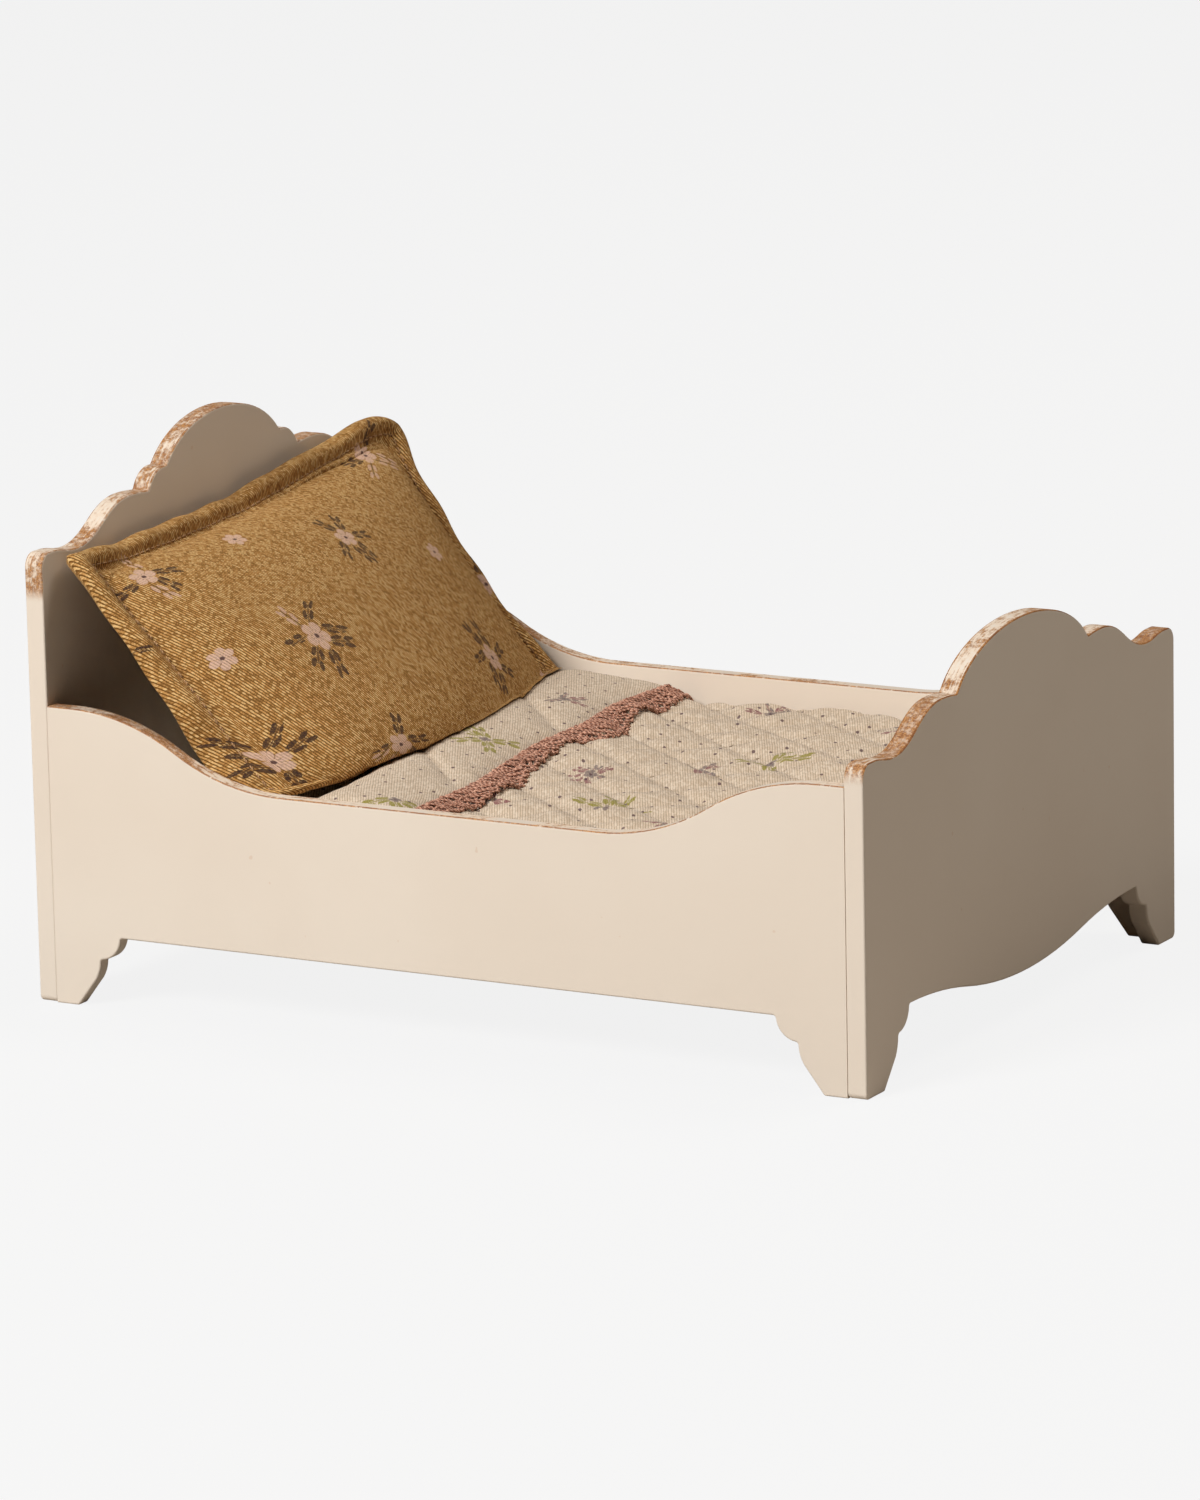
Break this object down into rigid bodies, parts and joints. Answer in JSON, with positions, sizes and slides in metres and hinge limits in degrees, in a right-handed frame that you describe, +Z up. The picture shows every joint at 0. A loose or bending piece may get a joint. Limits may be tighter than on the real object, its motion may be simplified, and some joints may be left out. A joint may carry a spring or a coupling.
{
  "type": "dolls house bed",
  "caption": "Doll's bed with scrolled head and foot boards, swept side panels, and a lift-out mattress, quilt with lace cuff and leaning pillow.",
  "frame": {"origin": "on the floor, in the middle of the bed's length and width", "axes": "+X from head to foot, +Y across the bed to its back side panel, +Z up"},
  "size_m": [0.225, 0.17, 0.1329],
  "materials": {
    "cream_paint": "satin cream paint, rubbed through at the edges",
    "plain_wood": "bare sanded softwood",
    "base_board": "bare thin plywood",
    "steel_brad": "plain steel",
    "foam": "soft foam",
    "ticking": "plain woven cotton",
    "quilt_print": "oatmeal cotton with small flowers and dots, quilted",
    "wadding": "white cotton wadding",
    "lining": "plain oatmeal cotton",
    "rose_lace": "dusty rose crochet cotton",
    "ochre_print": "ochre twill with pink flowers and dark leaves",
    "filling": "loose fibre filling"
  },
  "bodies": {
    "frame": {"headboard": "cream_paint", "footboard": "cream_paint", "side_panel_front": "cream_paint", "side_panel_back": "cream_paint", "panel_dowels": "plain_wood", "base_panel": "base_board", "base_brads": "steel_brad", "cleat_front": "plain_wood", "cleat_back": "plain_wood", "cleat_head": "plain_wood", "cleat_foot": "plain_wood", "corner_block_head_front": "plain_wood", "corner_block_head_back": "plain_wood", "corner_block_foot_front": "plain_wood", "corner_block_foot_back": "plain_wood"},
    "mattress": {"mattress_core": "foam", "mattress_cover_top": "ticking", "mattress_cover_bottom": "ticking"},
    "quilt": {"quilt_backing": "lining", "quilt_wadding": "wadding", "quilt_top": "quilt_print", "quilt_cuff": "quilt_print", "quilt_lace": "rose_lace"},
    "pillow": {"pillow_filling": "filling", "pillow_cover_front": "ochre_print", "pillow_cover_back": "ochre_print"}
  },
  "joints": [
    {"name": "mattress_lift", "type": "slide", "parent": "frame", "child": "mattress", "axis": [0, 0, 1], "range_m": [0, 0.11]},
    {"name": "quilt_lift", "type": "slide", "parent": "mattress", "child": "quilt", "axis": [0, 0, 1], "range_m": [0, 0.095]},
    {"name": "pillow_lift", "type": "slide", "parent": "quilt", "child": "pillow", "axis": [0, 0, 1], "range_m": [0, 0.09]}
  ]
}
